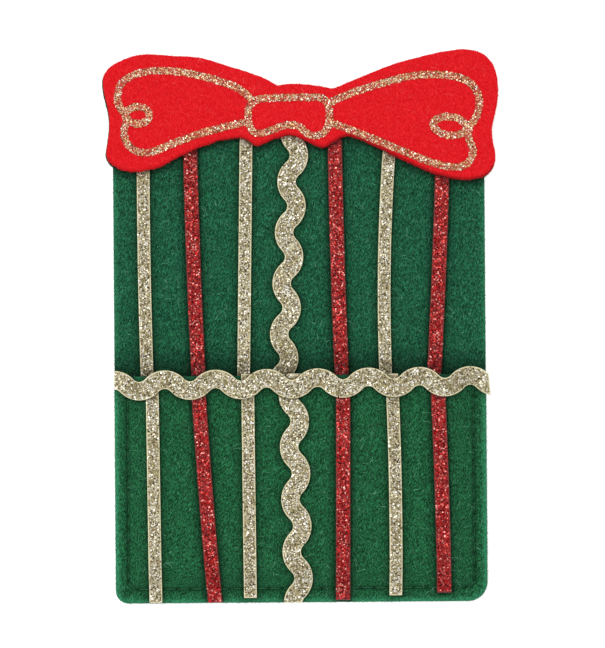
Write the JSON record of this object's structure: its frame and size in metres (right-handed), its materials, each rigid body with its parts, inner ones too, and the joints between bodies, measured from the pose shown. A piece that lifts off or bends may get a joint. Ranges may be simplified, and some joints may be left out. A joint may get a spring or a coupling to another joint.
{
  "type": "gift card holder",
  "caption": "Flat felt pouch made up as a wrapped present, with glitter strips, wavy ricrac and a bow-shaped head; a gift card slides into its sewn pocket from above.",
  "frame": {"origin": "on the rest plane, under the middle of the outline's box", "axes": "+Z out of the front, +Y from the pocket up to the bow, +X to the right as seen from the front"},
  "size_m": [0.1023, 0.1424, 0.0086],
  "materials": {
    "green_felt": "pressed felt, short fuzz",
    "red_felt": "pressed felt, short fuzz",
    "gold_glitter": "coarse glitter, metallic flakes",
    "red_glitter": "coarse glitter, metallic flakes",
    "gold_print": "glitter in clear glue",
    "green_thread": "twisted sewing thread"
  },
  "bodies": {
    "root": {"back_panel": "green_felt", "pocket_panel": "green_felt", "bow": "red_felt", "bow_outline": "gold_print", "upper_gold_strip_1": "gold_glitter", "upper_gold_strip_2": "gold_glitter", "upper_gold_strip_3": "gold_glitter", "upper_red_strip_1": "red_glitter", "upper_red_strip_2": "red_glitter", "upper_red_strip_3": "red_glitter", "lower_gold_strip_1": "gold_glitter", "lower_gold_strip_2": "gold_glitter", "lower_gold_strip_3": "gold_glitter", "lower_red_strip_1": "red_glitter", "lower_red_strip_2": "red_glitter", "lower_red_strip_3": "red_glitter", "upper_ricrac": "gold_glitter", "lower_ricrac": "gold_glitter", "mouth_ricrac": "gold_glitter", "seam_top_thread": "green_thread", "seam_bobbin_thread": "green_thread"}
  },
  "joints": []
}
